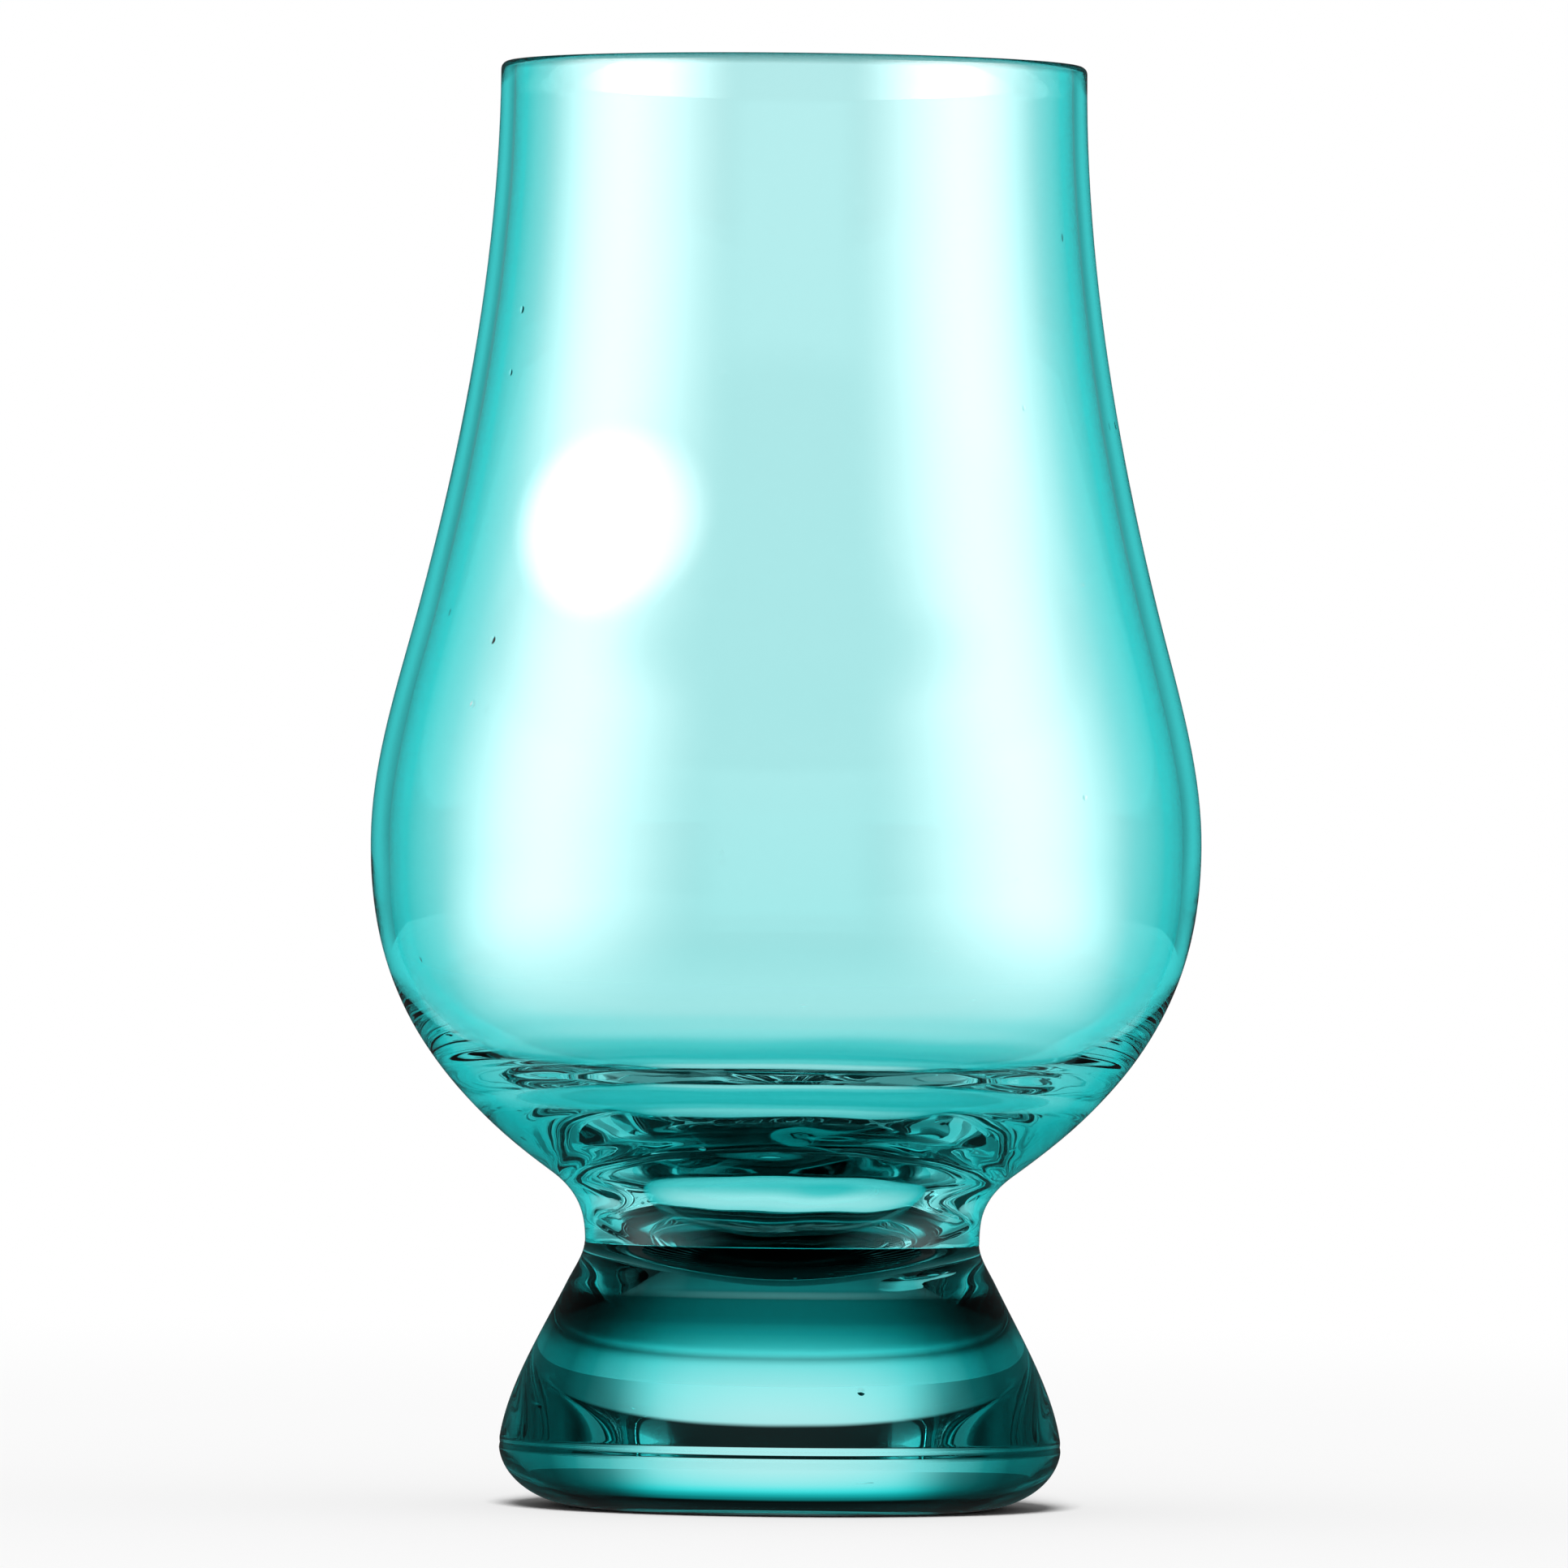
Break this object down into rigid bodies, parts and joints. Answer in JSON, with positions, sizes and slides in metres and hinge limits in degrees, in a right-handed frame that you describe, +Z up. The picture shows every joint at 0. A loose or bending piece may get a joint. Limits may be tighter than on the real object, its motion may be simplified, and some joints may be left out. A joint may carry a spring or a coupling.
{
  "type": "whisky glass",
  "caption": "Tulip-shaped whisky tasting glass: a thin blown bowl that narrows towards its mouth, fused at a short neck to a solid flared foot. Teal-tinted glass, free-standing.",
  "frame": {"origin": "middle of the circle that the foot stands on, on the table plane", "axes": "+Z up along the glass's axis, from the foot to the mouth; X and Y are any two directions across it"},
  "size_m": [0.0658, 0.0658, 0.1145],
  "materials": {
    "teal_glass": "clear polished glass, tinted teal"
  },
  "bodies": {
    "root": {"bowl": "teal_glass", "foot": "teal_glass"}
  },
  "joints": []
}
